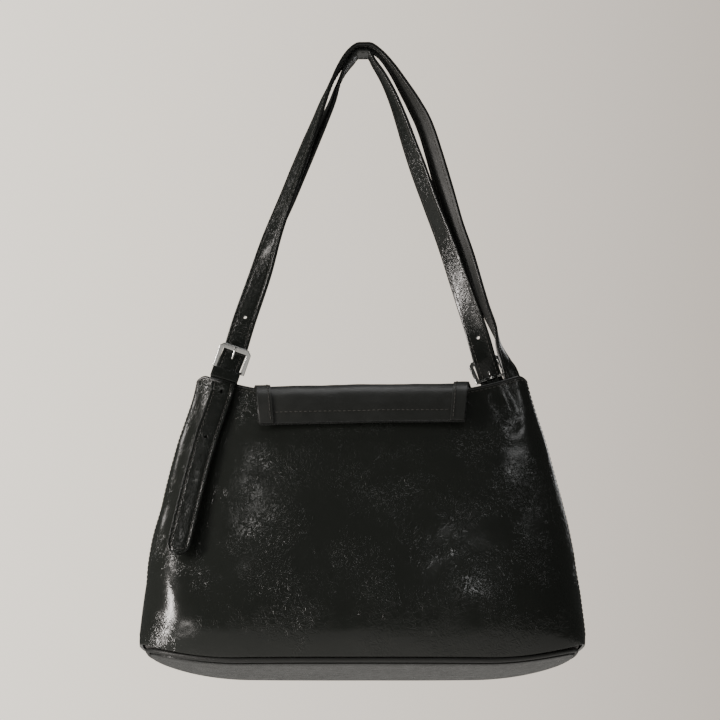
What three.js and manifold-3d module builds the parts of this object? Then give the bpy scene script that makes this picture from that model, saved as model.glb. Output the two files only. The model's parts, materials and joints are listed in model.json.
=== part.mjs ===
// A leather shoulder bag: a boat-bottomed body of two wrapped panels, a short flap,
// and two buckled straps that meet at their crowns. Millimetres, +Z up, the front
// faces -Y, and the origin is the middle of the base.
import * as THREE from "three";
import { mergeVertices } from "three/addons/utils/BufferGeometryUtils.js";
import Module from "manifold-3d";

const wasm = await Module();
wasm.setup();

// ---- Driving dimensions ----
const GAP = 0.4; // air between neighbouring pieces
const PANEL = 2.2; // leather and backing of the outer panels
const BODY_HALF_WIDTH = [
  [0, 157], [18, 164.3], [40, 164], [85, 158.3], [115, 153],
  [146, 146], [177, 138.4], [208, 129], [232, 124],
];
const BODY_HALF_DEPTH = [
  [0, 53], [20, 59], [40, 60], [60, 58], [90, 53],
  [120, 47], [145, 41.5], [170, 36], [190, 30.5], [207, 25.5], [232, 18],
];
const SQUARE_BASE = 3.2; // superellipse power of the plan at the base
const SQUARE_RIM = 2.2; // and at the rim, where the plan is a lens
const RIM_HEIGHT = 205; // at the middle of the mouth
const EAR_RISE = 22; // the rim's corners stand this much higher
const BASE_FLAT = 86; // half length of the flat middle of the base
const BASE_RISE = 14; // lift of the base at its ends
const BASE_THICK = 2.5;
const BOARD_THICK = 2;
const WALL_START = 5.8; // lower edge of the panels above the base
const PIPING_RADIUS = 1.7;
const FACING_DEPTH = 24; // leather band inside the mouth
const FACING_DROP = 3.5; // its upper edge below the rim
const FACING_IN = 4.4; // how far inside the outer face the facing and lining lie
const LINING = 0.8;

const STRAP_WIDTH = 18;
const STRAP_THICK = 2.8;
const SEWN_NARROWING = 2.4; // the strap curls in on each side where it meets the ear
const HOLE_RADIUS = 1.4;
const CROWN_CUT = 0.2; // the straps lie flat over a hook where they would rise above this

const FLAP_HALF_WIDTH_ROOT = 86.5;
const FLAP_HALF_WIDTH_TIP = 76;
const FLAP_THICK = 1.8;
const FLAP_LINING = 1;
const FLAP_BOW = 3; // the flap follows the body's plan and falls back this much at its ends
const FLAP_BAND = 10; // width of the leather bands on the flap's ends
const MAGNET_PLACE = 0.86; // share of the way from the flap's seam to its front edge

const BUCKLE_WIDTH = 25.2;
const BUCKLE_HEIGHT = 19.6;
const BUCKLE_THICK = 2.2;
const TOP_BAR = 3.9;
const SIDE_BAR = 3.1;
const HEEL_BAR = 1.8;
const BUCKLE_LEAN = THREE.MathUtils.degToRad(20);
const BUCKLE_TILT = THREE.MathUtils.degToRad(16);
const HEEL = new THREE.Vector3(-101.2, -13.5, 228.5); // middle of the front buckle's heel bar
const BACK_BUCKLE_SHIFT = 1.5; // the back buckle stands this much nearer the middle

// Strap centre lines from the buckle over the crown to the sewn end, as x, y, z and the
// turn of the outer face in degrees: 0 faces outwards, -90 faces the front.
const FRONT_STRAP_LINE = [
  [-94.9, -14.3, 248.4, -88], [-90.3, -14.2, 265, -86], [-78.3, -13, 303, -74],
  [-69, -11.5, 336, -54], [-57.8, -9.6, 369, -41], [-48.8, -8, 395, -36],
  [-41.9, -6.6, 415, -30], [-34.9, -5.2, 435, -22], [-28, -4, 455, -14],
  [-19.4, -2.5, 475, -5], [-10.5, -1.5, 489, 0], [-2.5, -1, 495.4, 0], [6, -1, 495.4, 0],
  [13.5, -1, 490.5, 0], [24, -1, 477, 8], [33, -0.2, 462, 18], [41.5, 1, 447, 28],
  [49.3, 2.4, 431, 36], [65, 6, 377, 44], [72.6, 8, 350, 41], [81.3, 9, 325, 34],
  [94.3, 7, 286, 13], [102.2, -2, 262, 0], [105.6, -4.4, 248, -20],
  [109.5, -5.6, 237, -40], [112, -6.2, 231, -58],
];
const BACK_STRAP_LINE = [
  [-93.4, -14.3, 248.4, -84], [-89, -14.2, 265, -70], [-75.3, -13.2, 308, -50],
  [-64.4, -11.8, 341, -40], [-54, -10, 369, -35], [-45, -8.6, 395, -36],
  [-37.5, -7, 417, -30], [-31, -5.6, 437, -22], [-24.5, -4.2, 455, -14],
  [-17, -2.6, 471, -6], [-9.5, -1.4, 483.2, 0], [-5, -1, 490.9, 0], [3, -1, 490.9, 0],
  [7.5, -1, 485.5, 0], [14, -1, 476, 4], [19, -1, 464.5, 10], [23.8, -1, 449, 18],
  [32, -1.2, 430, 28], [45.5, -1.8, 398, 36], [57, -2.2, 369, 36], [70.5, -2.8, 336, 30],
  [83, -3.4, 303, 22], [93, -4, 277, 12], [98, -4.5, 260, 0], [101.3, -5, 247.5, -20],
  [104.5, -5.6, 237, -40], [106.5, -6.2, 231, -58],
];
const STRAP_STEPS = 2; // sections between neighbouring points of a strap's line
const TAIL_LINE = [[-104.8, 216.6], [-105.6, 209], [-110.5, 191], [-116, 172], [-121.2, 150],
  [-127, 122], [-131.5, 99]];
const TAIL_TIP = [-135, 81];
const TAIL_CLEARANCE = [1.3, 1.8, 1.9, 2.5, 3.5, 4.5, 5.5];
const TAIL_TURN = -82; // the tail turns a little outwards with the body's plan
const LAP_LINE = [
  [5.6, -14.45, 245.5], [5, -14.6, 243.3], [2.5, -16.1, 236], [-0.1, -17.85, 228.5],
  [-1.8, -18.5, 223.5], [-3, -19.2, 219.7],
];

// ---- Geometry helpers ----

// A smooth curve through [input, value] pairs.
function through(points) {
  const last = points.length - 1;
  const slope = points.map((_, i) => {
    const a = points[Math.max(i - 1, 0)];
    const b = points[Math.min(i + 1, last)];
    return (b[1] - a[1]) / (b[0] - a[0]);
  });
  return (x) => {
    const next = points.findIndex((p) => p[0] > x);
    const i = next < 0 ? last - 1 : Math.max(next - 1, 0);
    const h = points[i + 1][0] - points[i][0];
    const t = (x - points[i][0]) / h;
    const a = points[i][1];
    const b = points[i + 1][1];
    return a + (b - a) * t * t * (3 - 2 * t)
      + h * t * (1 - t) * ((1 - t) * slope[i] - t * slope[i + 1]);
  };
}

// One closed geometry from corner positions and triangles, turned to face out.
function closed(points, triangles) {
  let volume = 0;
  for (const [a, b, c] of triangles) {
    volume += points[a].dot(new THREE.Vector3().crossVectors(points[b], points[c]));
  }
  const turned = volume < 0 ? triangles.map(([a, b, c]) => [a, c, b]) : triangles;
  const geometry = new THREE.BufferGeometry().setFromPoints(points);
  geometry.setIndex(turned.flat());
  geometry.computeVertexNormals();
  return geometry;
}

const quad = (a, b, c, d) => [[a, b, c], [a, c, d]];

// The solid between two layers of a curved face: face(u, v, depth) gives a point.
function slab(face, across, up, near, far) {
  const points = [];
  for (const depth of [near, far]) {
    for (let j = 0; j <= up; j++) {
      for (let i = 0; i <= across; i++) points.push(face(i / across, j / up, depth));
    }
  }
  const layer = (across + 1) * (up + 1);
  const at = (k, i, j) => k * layer + j * (across + 1) + i;
  const triangles = [];
  for (let j = 0; j < up; j++) {
    for (let i = 0; i < across; i++) {
      triangles.push(...quad(at(0, i, j), at(0, i + 1, j), at(0, i + 1, j + 1), at(0, i, j + 1)));
      triangles.push(...quad(at(1, i, j), at(1, i, j + 1), at(1, i + 1, j + 1), at(1, i + 1, j)));
    }
  }
  for (let i = 0; i < across; i++) {
    triangles.push(...quad(at(0, i, 0), at(1, i, 0), at(1, i + 1, 0), at(0, i + 1, 0)));
    triangles.push(...quad(at(0, i, up), at(0, i + 1, up), at(1, i + 1, up), at(1, i, up)));
  }
  for (let j = 0; j < up; j++) {
    triangles.push(...quad(at(0, 0, j), at(0, 0, j + 1), at(1, 0, j + 1), at(1, 0, j)));
    const edge = across;
    triangles.push(...quad(at(0, edge, j), at(1, edge, j), at(1, edge, j + 1), at(0, edge, j + 1)));
  }
  return closed(points, triangles);
}

// The solid through a row of convex rings with equal counts; a loop has no end caps.
function loft(rings, loop = false) {
  const n = rings[0].length;
  const points = rings.flat();
  const triangles = [];
  const links = loop ? rings.length : rings.length - 1;
  for (let k = 0; k < links; k++) {
    const next = (k + 1) % rings.length;
    for (let i = 0; i < n; i++) {
      const j = (i + 1) % n;
      triangles.push(...quad(k * n + i, k * n + j, next * n + j, next * n + i));
    }
  }
  if (!loop) {
    const end = (rings.length - 1) * n;
    for (let i = 1; i < n - 1; i++) {
      triangles.push([0, i + 1, i]);
      triangles.push([end, end + i, end + i + 1]);
    }
  }
  return closed(points, triangles);
}

function toSolid(geometry) {
  const bare = geometry.clone();
  bare.deleteAttribute("normal");
  bare.deleteAttribute("uv");
  const merged = mergeVertices(bare, 1e-3);
  return new wasm.Manifold(new wasm.Mesh({
    numProp: 3,
    vertProperties: merged.attributes.position.array,
    triVerts: new Uint32Array(merged.index.array),
  }));
}

function toGeometry(solid) {
  const mesh = solid.getMesh();
  const geometry = new THREE.BufferGeometry();
  geometry.setAttribute("position", new THREE.BufferAttribute(mesh.vertProperties, 3));
  geometry.setIndex(new THREE.BufferAttribute(mesh.triVerts, 1));
  geometry.computeVertexNormals();
  return geometry;
}

const cut = (geometry, ...tools) =>
  toGeometry(tools.reduce((solid, tool) => solid.subtract(toSolid(tool)), toSolid(geometry)));
const join = (geometry, ...others) =>
  toGeometry(others.reduce((solid, other) => solid.add(toSolid(other)), toSolid(geometry)));

function box(x, y, z, at = [0, 0, 0]) {
  return new THREE.BoxGeometry(x, y, z).translate(...at);
}

// A closed tube of round section along a list of points.
function rod(points, radius, steps, sides = 8) {
  const circle = new THREE.Shape().absarc(0, 0, radius, 0, 2 * Math.PI);
  return new THREE.ExtrudeGeometry(circle, {
    extrudePath: new THREE.CatmullRomCurve3(points),
    steps,
    curveSegments: sides,
  });
}

// ---- Materials ----
const glazed = () => new THREE.MeshStandardMaterial({ color: 0x171a17, roughness: 0.3 });
const matteLeather = () => new THREE.MeshStandardMaterial({ color: 0x1d201d, roughness: 0.6 });
const fabric = () => new THREE.MeshStandardMaterial({ color: 0x2b2a28, roughness: 0.9 });
const board = () => new THREE.MeshStandardMaterial({ color: 0x6b5a45, roughness: 0.9 });
const metal = () =>
  new THREE.MeshStandardMaterial({ color: 0xc9c9c6, roughness: 0.2, metalness: 1 });
const teeth = () =>
  new THREE.MeshStandardMaterial({ color: 0x8d8b86, roughness: 0.4, metalness: 1 });

function piece(parent, name, geometry, material) {
  const mesh = new THREE.Mesh(geometry, material);
  mesh.name = name;
  parent.add(mesh);
  return mesh;
}

// ---- The body's outer face ----
const halfWidth = through(BODY_HALF_WIDTH);
const halfDepth = through(BODY_HALF_DEPTH);
const TALLEST = RIM_HEIGHT + EAR_RISE;
const power = (z) => THREE.MathUtils.lerp(SQUARE_BASE, SQUARE_RIM, z / TALLEST);
const rimAt = (f) => RIM_HEIGHT + EAR_RISE * Math.abs(f) ** 3;
const signedPower = (v, p) => Math.sign(v) * Math.abs(v) ** p;

function baseAt(x) {
  const over = Math.max(Math.abs(x) - BASE_FLAT, 0) / (BODY_HALF_WIDTH[1][1] - BASE_FLAT);
  return BASE_RISE * over ** 2;
}

// How far the body stands out from its middle plane at x and z.
function standOut(x, z) {
  const n = power(z);
  const across = Math.min(Math.abs(x) / halfWidth(z), 1);
  return halfDepth(z) * (1 - across ** n) ** (1 / n);
}

// A face of one half of the body: side -1 is the front and +1 the back. low and high
// give the face's lower and upper edge from the place across, -1 to 1.
function wallFace(side, low, high, from = 0, to = Math.PI) {
  return (u, v, depth) => {
    const a = THREE.MathUtils.lerp(from, to, u);
    const place = signedPower(Math.cos(a), 2 / 2.7);
    const z = THREE.MathUtils.lerp(low(place), high(place), v);
    const p = 2 / power(z);
    const x = (halfWidth(z) - depth) * signedPower(Math.cos(a), p);
    const y = GAP / 2 + (halfDepth(z) - GAP / 2 - depth) * Math.abs(Math.sin(a)) ** p;
    return new THREE.Vector3(x, side * y, z);
  };
}

const wallFoot = (place) => baseAt(place * BODY_HALF_WIDTH[1][1]) + WALL_START;

// The angle on the wall's plan where it reaches x at height z.
const wallAngle = (x, z) => Math.acos(signedPower(x / halfWidth(z), power(z) / 2));

function panels(bag) {
  for (const [name, side] of [["front", -1], ["back", 1]]) {
    const wall = wallFace(side, wallFoot, rimAt);
    piece(bag, name + "_panel", slab(wall, 30, 9, 0, PANEL), glazed());
    const facing = wallFace(side, (f) => rimAt(f) - FACING_DEPTH, (f) => rimAt(f) - FACING_DROP);
    piece(bag, name + "_facing", slab(facing, 30, 2, FACING_IN, FACING_IN + 1.2), matteLeather());
  }
}

// A plank with the base's plan and rocker, from low to high above the base line.
function basePlank(inset, low, high) {
  const steps = 24;
  const length = halfWidth(WALL_START) - inset;
  const depth = halfDepth(WALL_START) - inset;
  const rings = [];
  for (let k = 0; k <= steps; k++) {
    const a = THREE.MathUtils.lerp(0.04, Math.PI - 0.04, k / steps);
    const x = -length * signedPower(Math.cos(a), 2 / SQUARE_BASE);
    const y = depth * Math.sin(a) ** (2 / SQUARE_BASE);
    const z = baseAt(x);
    rings.push([
      new THREE.Vector3(x, -y, z + low), new THREE.Vector3(x, y, z + low),
      new THREE.Vector3(x, y, z + high), new THREE.Vector3(x, -y, z + high),
    ]);
  }
  return loft(rings);
}

function bottomPiping() {
  const steps = 48;
  const sides = 6;
  const rings = [];
  for (let k = 0; k < steps; k++) {
    const a = (2 * Math.PI * k) / steps;
    const p = 2 / SQUARE_BASE;
    const x = (halfWidth(WALL_START) - PIPING_RADIUS) * signedPower(Math.cos(a), p);
    const y = (halfDepth(WALL_START) - PIPING_RADIUS) * signedPower(Math.sin(a), p);
    const out = new THREE.Vector3(x / 9, y, 0).normalize();
    const centre = new THREE.Vector3(x, y, baseAt(x) + WALL_START - GAP - PIPING_RADIUS);
    rings.push(Array.from({ length: sides }, (_, i) => {
      const turn = (2 * Math.PI * i) / sides;
      return centre.clone()
        .addScaledVector(out, PIPING_RADIUS * Math.cos(turn))
        .add(new THREE.Vector3(0, 0, PIPING_RADIUS * Math.sin(turn)));
    }));
  }
  return loft(rings, true);
}

function base(bag) {
  const boardLow = BASE_THICK + GAP;
  piece(bag, "base_panel", basePlank(2 * PIPING_RADIUS + GAP, 0, BASE_THICK), glazed());
  piece(bag, "bottom_piping", bottomPiping(), matteLeather());
  piece(bag, "base_board", basePlank(6, boardLow, boardLow + BOARD_THICK), board());
}

// The lining is one sewn cup of walls and bottom.
function lining(bag) {
  const around = 36;
  const up = 5;
  const floor = BASE_THICK + BOARD_THICK + 2 * GAP;
  const ring = (v, depth, lift) => Array.from({ length: around }, (_, i) => {
    const a = (2 * Math.PI * i) / around;
    const place = signedPower(Math.cos(a), 2 / 2.7);
    const foot = baseAt(place * BODY_HALF_WIDTH[1][1]) + floor + lift;
    const top = rimAt(place) - FACING_DEPTH - GAP;
    const z = THREE.MathUtils.lerp(foot, top, v);
    const p = 2 / power(z);
    return new THREE.Vector3(
      (halfWidth(z) - depth) * signedPower(Math.cos(a), p),
      (halfDepth(z) - depth) * signedPower(Math.sin(a), p),
      z,
    );
  });
  const levels = Array.from({ length: up + 1 }, (_, j) => j / up);
  const outer = levels.map((v) => ring(v, FACING_IN, 0));
  const inner = levels.map((v) => ring(v, FACING_IN + LINING, LINING)).reverse();
  const shrink = (from, share, lift) => from.map((p) => {
    const x = p.x * share;
    return new THREE.Vector3(x, p.y * share, baseAt(x) + floor + lift);
  });
  const rings = [
    shrink(outer[0], 0.05, 0), shrink(outer[0], 0.55, 0), ...outer,
    ...inner, shrink(outer[0], 0.55, LINING), shrink(outer[0], 0.05, LINING),
  ];
  piece(bag, "lining", loft(rings), fabric());
}

// Pockets sewn to the lining: flat leather-edged plates that lean with the walls.
const POCKET_LEAN = Math.atan(0.217);
const POCKET_TOP = [22.2, 180]; // y and z of the back pocket's upper edge
const ZIP_LENGTH = 112;
const ZIP_PULL_PIVOT = [ZIP_LENGTH / 2 - 6, -5.2, -13]; // on the pocket's own axes

// The pull's eye goes round the slider's bridge, and its top bar turns inside it.
function zipPull() {
  const shape = new THREE.Shape();
  shape.moveTo(-3.2, 0.6).lineTo(-2.6, -17);
  shape.absarc(0, -17, 2.6, Math.PI, 2 * Math.PI);
  shape.lineTo(3.2, 0.6).closePath();
  const eye = new THREE.Path();
  eye.moveTo(-2, -3.8).lineTo(2, -3.8).lineTo(2, -0.6).lineTo(-2, -0.6).closePath();
  shape.holes.push(eye);
  const plate = new THREE.ExtrudeGeometry(shape, {
    depth: 1.1, bevelEnabled: false, curveSegments: 6,
  });
  return plate.rotateX(Math.PI / 2).translate(0, 0.55, 0);
}

function pockets(bag) {
  const back = new THREE.Group();
  back.position.set(0, ...POCKET_TOP);
  back.rotation.x = POCKET_LEAN;
  bag.add(back);
  const plate = box(132, 1.2, 92, [0, 0, -46]);
  const slot = box(ZIP_LENGTH, 4, 8, [0, 0, -13]);
  piece(back, "zip_pocket_panel", cut(plate, slot), fabric());
  piece(back, "zip_tape", box(ZIP_LENGTH + 10, 0.6, 15, [0, 0.6 + GAP + 0.3, -13]), fabric());
  piece(back, "zip_teeth", box(ZIP_LENGTH - 2, 1.2, 3.4, [0, 0.2, -13]), teeth());
  const [pullX, pullY, pullZ] = ZIP_PULL_PIVOT;
  const slider = box(8, 2.4, 8.6, [pullX, -2.2, pullZ]);
  const bridge = box(3, 4.2, 5, [pullX, -5.1, pullZ]);
  const bridgeHole = box(9, 2.3, 2.4, [pullX, -5.05, pullZ]);
  piece(back, "zip_slider", cut(join(slider, bridge), bridgeHole), metal());
  const pull = zipPull().translate(pullX, pullY, pullZ);
  piece(back, "zip_pull", pull, metal());

  const front = new THREE.Group();
  front.position.set(0, -POCKET_TOP[0], POCKET_TOP[1] - 10);
  front.rotation.x = -POCKET_LEAN;
  bag.add(front);
  piece(front, "slip_pocket", box(120, 1.2, 78, [0, -1.2, -39]), fabric());
}

// ---- The flap ----
const FLAP_PATH = new THREE.CatmullRomCurve3([
  [28.6, 206], [28.3, 211], [23, 216], [11, 218.3], [-4, 218.8], [-18, 217.4],
  [-29.5, 210.8], [-34.3, 201], [-36.8, 191.5], [-38.4, 184.2],
].map(([y, z]) => new THREE.Vector3(0, y, z)), false, "centripetal");

// A point of the flap: u across from right to left, v from the seam to the front edge.
function flapFace(fromX = 1, toX = -1, fromV = 0, toV = 1) {
  return (u, v, depth) => {
    const along = THREE.MathUtils.lerp(fromV, toV, v);
    const centre = FLAP_PATH.getPointAt(along);
    const tangent = FLAP_PATH.getTangentAt(along);
    const half = THREE.MathUtils.lerp(FLAP_HALF_WIDTH_ROOT, FLAP_HALF_WIDTH_TIP, along);
    const across = THREE.MathUtils.lerp(fromX, toX, u);
    const inward = new THREE.Vector3(0, -tangent.z, tangent.y);
    const side = centre.y > 0 ? -1 : 1;
    const bow = side * FLAP_BOW * across ** 2 * Math.min(Math.abs(centre.y) / 30, 1);
    return centre.clone()
      .addScaledVector(inward, depth)
      .add(new THREE.Vector3(across * half, bow, 0));
  };
}

function disc(radius, thick) {
  return new THREE.CylinderGeometry(radius, radius, thick, 24);
}

function flap(bag) {
  const whole = flapFace();
  piece(bag, "flap_outer", slab(whole, 10, 18, 0, FLAP_THICK), glazed());
  const within = flapFace(0.97, -0.97, 0.06, 0.97);
  const liningNear = FLAP_THICK + GAP;
  const liningFar = liningNear + FLAP_LINING;
  piece(bag, "flap_lining", slab(within, 10, 16, liningNear, liningFar), matteLeather());
  for (const [name, sign] of [["right", 1], ["left", -1]]) {
    const inner = 1 - FLAP_BAND / FLAP_HALF_WIDTH_TIP;
    const band = flapFace(sign * 0.998, sign * inner, 0.12, 0.995);
    piece(bag, "flap_band_" + name, slab(band, 1, 18, -GAP - 1, -GAP), glazed());
  }
  const root = wallFace(1, () => 187, () => 204.6, wallAngle(84, 200), wallAngle(-84, 200));
  piece(bag, "flap_seam_strip", slab(root, 14, 2, -GAP - FLAP_THICK, -GAP), glazed());

  const at = FLAP_PATH.getPointAt(MAGNET_PLACE);
  const tangent = FLAP_PATH.getTangentAt(MAGNET_PLACE);
  const inward = new THREE.Vector3(0, -tangent.z, tangent.y);
  const magnet = (name, depth, thick) => {
    const mesh = piece(bag, name, disc(7, thick), metal());
    mesh.position.copy(at).addScaledVector(inward, depth);
    mesh.quaternion.setFromUnitVectors(new THREE.Vector3(0, 1, 0), inward);
  };
  const thick = 0.7;
  magnet("flap_magnet", liningFar + 0.6 + thick / 2, thick);
  magnet("front_magnet", liningFar + 0.9 + thick * 1.5, thick);
}

// ---- Straps ----

// Sections of a flat strap along a line of x, y, z and turn.
function strapSections(line, crown = Infinity) {
  const curve = new THREE.CatmullRomCurve3(
    line.map(([x, y, z]) => new THREE.Vector3(x, y, z)), false, "centripetal");
  const spans = line.length - 1;
  const steps = spans * STRAP_STEPS;
  return Array.from({ length: steps + 1 }, (_, k) => {
    const t = k / steps;
    const i = Math.min(Math.floor(t * spans), spans - 1);
    const turn = THREE.MathUtils.degToRad(
      THREE.MathUtils.lerp(line[i][3], line[i + 1][3], t * spans - i));
    const centre = curve.getPoint(t);
    centre.z = Math.min(centre.z, crown);
    const tangent = curve.getTangent(t);
    if (centre.z === crown) tangent.set(1, 0, 0);
    const outward = new THREE.Vector3().crossVectors(tangent, new THREE.Vector3(0, 1, 0));
    outward.normalize();
    const side = new THREE.Vector3().crossVectors(outward, tangent).normalize();
    const normal = outward.clone().multiplyScalar(Math.cos(turn));
    normal.addScaledVector(side, Math.sin(turn));
    const across = side.clone().multiplyScalar(Math.cos(turn));
    across.addScaledVector(outward, -Math.sin(turn));
    return { centre, normal, across, half: STRAP_WIDTH / 2 };
  });
}

function sectionCorners({ centre, normal, across, half }) {
  const corner = (w, n) => centre.clone()
    .addScaledVector(across, w * half)
    .addScaledVector(normal, (n * STRAP_THICK) / 2);
  return [corner(-1, -1), corner(1, -1), corner(1, 1), corner(-1, 1)];
}

// A punch through the strap at a section, stretched along the strap for a buckle's prong.
function punch(section, stretch = 1) {
  const tool = new THREE.CylinderGeometry(HOLE_RADIUS, HOLE_RADIUS, 3 * STRAP_THICK, 10);
  const basis = new THREE.Matrix4().makeBasis(
    section.across.clone(), section.normal.clone(),
    new THREE.Vector3().crossVectors(section.across, section.normal).multiplyScalar(stretch));
  return tool.applyMatrix4(basis.setPosition(section.centre));
}

function strap(parent, name, line) {
  const sections = strapSections(line, Math.max(...line.map((p) => p[2])) - CROWN_CUT);
  for (const section of sections.slice(sections.length / 2)) {
    section.half -= SEWN_NARROWING * THREE.MathUtils.smoothstep(262 - section.centre.z, 0, 32);
  }
  const nearest = (z) => sections.slice(0, sections.length / 2)
    .reduce((a, b) => (Math.abs(a.centre.z - z) < Math.abs(b.centre.z - z) ? a : b));
  const holes = [269, 303].map((z) => punch(nearest(z)));
  piece(parent, name, cut(loft(sections.map(sectionCorners)), ...holes), glazed());
}

// The strap's free end hangs in front of the body and follows its swell.
function tail(parent, name, shift) {
  const place = ([x, z], clearance) =>
    [x + shift, -standOut(x + shift + 6, z) - clearance - STRAP_THICK / 2, z, TAIL_TURN];
  const line = TAIL_LINE.map((p, i) => place(p, TAIL_CLEARANCE[i])).reverse();
  line.unshift(place(TAIL_TIP, TAIL_CLEARANCE.at(-1) + 1));
  const [lapX, lapY] = LAP_LINE.at(-1);
  line[line.length - 1] = [HEEL.x + shift + lapX - 0.6, lapY, TAIL_LINE[0][1], -90];
  const sections = strapSections(line);
  const radius = STRAP_WIDTH / 2;
  const tip = sections[0].centre;
  for (const section of sections) {
    const reach = Math.min(section.centre.distanceTo(tip), radius);
    section.half = Math.max(Math.sqrt(radius ** 2 - (radius - reach) ** 2), radius * 0.45);
  }
  const holes = [172, 209].map((z) => sections.reduce((a, b) =>
    (Math.abs(a.centre.z - z) < Math.abs(b.centre.z - z) ? a : b))).map((s) => punch(s));
  piece(parent, name, cut(loft(sections.map(sectionCorners)), ...holes), glazed());
}

// ---- Buckle, keeper and tab, in the front's frame ----
function buckleFrame() {
  const w = BUCKLE_WIDTH / 2;
  const top = BUCKLE_HEIGHT - HEEL_BAR / 2;
  const bottom = -HEEL_BAR / 2;
  const chamfer = 3;
  const outline = new THREE.Shape();
  outline.moveTo(-w, bottom).lineTo(w, bottom).lineTo(w, top - chamfer);
  outline.lineTo(w - chamfer, top).lineTo(-w + chamfer, top).lineTo(-w, top - chamfer);
  outline.closePath();
  const inner = w - SIDE_BAR;
  const window = new THREE.Path();
  window.moveTo(-inner, HEEL_BAR / 2).lineTo(-inner, top - TOP_BAR);
  window.lineTo(inner, top - TOP_BAR).lineTo(inner, HEEL_BAR / 2).closePath();
  outline.holes.push(window);
  const geometry = new THREE.ExtrudeGeometry(outline, {
    depth: BUCKLE_THICK, bevelEnabled: false,
  });
  return geometry.rotateX(Math.PI / 2).translate(0, BUCKLE_THICK / 2, 0);
}

// The prong: a ring round the heel bar and a bent rod through the strap onto the top bar.
function prong() {
  const ring = new THREE.TorusGeometry(2.15, 0.5, 6, 12).rotateY(Math.PI / 2);
  const top = BUCKLE_HEIGHT - HEEL_BAR / 2 - TOP_BAR / 2;
  const line = [[1, 2.1], [0.6, 5], [-0.9, 8.2], [-2.2, 11.5], [-2.35, top], [-2.2, top + 1.3]];
  const bar = rod(line.map(([y, z]) => new THREE.Vector3(0, y, z)), 0.8, 10, 3);
  return join(ring, bar);
}

// The tab wraps the heel bar, with a notch for the prong, and runs down into the seam.
function tab(shift) {
  const x = HEEL.x + shift - 4.2;
  const foot = PANEL + 1.68 - standOut(x, 217.5) - HEEL.y;
  const loop = new THREE.Shape();
  loop.absarc(0, 0, 2.65, -0.6, Math.PI + 0.6);
  loop.lineTo(1.6, -4).lineTo(foot, -11).lineTo(foot + 1.6, -11).lineTo(3.2, -4).closePath();
  loop.holes.push(new THREE.Path().absarc(0, 0, 1.7, 0, 2 * Math.PI));
  const width = 9;
  const wrap = new THREE.ExtrudeGeometry(loop, {
    depth: width, bevelEnabled: false, curveSegments: 8,
  });
  wrap.applyMatrix4(new THREE.Matrix4().makeBasis(
    new THREE.Vector3(0, 1, 0), new THREE.Vector3(0, 0, 1), new THREE.Vector3(1, 0, 0)));
  wrap.translate(-width / 2, 0, 0);
  const notched = cut(wrap, box(4.2, 9, 7, [0, 0, 0.4]));
  notched.rotateY(BUCKLE_LEAN).translate(HEEL.x + shift, HEEL.y, HEEL.z);
  const inside = wallFace(-1, () => 192, () => 222,
    wallAngle(x + width / 2, 212), wallAngle(x - width / 2, 212));
  const root = slab(inside, 4, 4, PANEL + GAP, FACING_IN - GAP);
  return join(notched, root);
}

function keeper() {
  const inner = [STRAP_WIDTH / 2 + 0.4, STRAP_THICK / 2 + 0.5];
  const wall = 1.1;
  const rectangle = (path, x, y) =>
    path.moveTo(-x, -y).lineTo(x, -y).lineTo(x, y).lineTo(-x, y).closePath();
  const outline = rectangle(new THREE.Shape(), inner[0] + wall, inner[1] + wall);
  outline.holes.push(rectangle(new THREE.Path(), ...inner));
  return new THREE.ExtrudeGeometry(outline, { depth: 8, bevelEnabled: false })
    .translate(0, 0, -4);
}

// The strap's lap: down behind the top bar, over the heel bar and through the keeper.
function lap(shift) {
  const line = LAP_LINE.map(([x, y, z]) => [HEEL.x + shift + x, y, z, -90]).reverse();
  const sections = strapSections(line);
  const slot = sections.reduce((a, b) =>
    (Math.abs(a.centre.z - 237) < Math.abs(b.centre.z - 237) ? a : b));
  return cut(loft(sections.map(sectionCorners)), punch(slot, 2.6));
}

// The strap's sewn end, between the panel and the facing under the ear.
function sewnEnd(line) {
  const x = line.at(-1)[0] + 1.5;
  const half = 6;
  const inside = wallFace(-1, () => 203, () => 224, wallAngle(x - half, 214),
    wallAngle(Math.min(x + half, halfWidth(214) - 1.5), 214));
  return slab(inside, 4, 3, PANEL + GAP, FACING_IN - GAP);
}

function strapSet(bag, side, line, shift) {
  const group = new THREE.Group();
  if (side === "back") group.rotation.z = Math.PI;
  bag.add(group);
  strap(group, side + "_strap", line);
  tail(group, side + "_strap_tail", shift);
  piece(group, side + "_strap_lap", lap(shift), glazed());
  piece(group, side + "_strap_sewn_end", sewnEnd(line), glazed());
  piece(group, side + "_tab", tab(shift), glazed());

  const heel = new THREE.Group();
  heel.position.copy(HEEL).add(new THREE.Vector3(shift, 0, 0));
  heel.rotation.set(BUCKLE_TILT, BUCKLE_LEAN, 0, "YXZ");
  group.add(heel);
  piece(heel, side + "_buckle_frame", buckleFrame(), metal());
  piece(heel, side + "_buckle_prong", prong(), metal());

  const loop = piece(group, side + "_keeper", keeper(), glazed());
  loop.position.set(HEEL.x + shift - 2.25, -19.05, 222.9);
  loop.rotation.set(THREE.MathUtils.degToRad(-8), THREE.MathUtils.degToRad(17), 0, "YXZ");
}

const bag = new THREE.Group();
panels(bag);
base(bag);
lining(bag);
pockets(bag);
flap(bag);
strapSet(bag, "front", FRONT_STRAP_LINE, 0);
strapSet(bag, "back", BACK_STRAP_LINE, BACK_BUCKLE_SHIFT);

export default bag;
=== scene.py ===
"""Looks of a glazed leather shoulder bag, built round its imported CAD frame.

Shapes are worked out in millimetres in the CAD's frame and stored in metres:
+Z up, the front faces -Y, the origin is the middle of the base.
"""

import json
import math

import bmesh
import bpy
from mathutils import Matrix, Vector, noise


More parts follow.
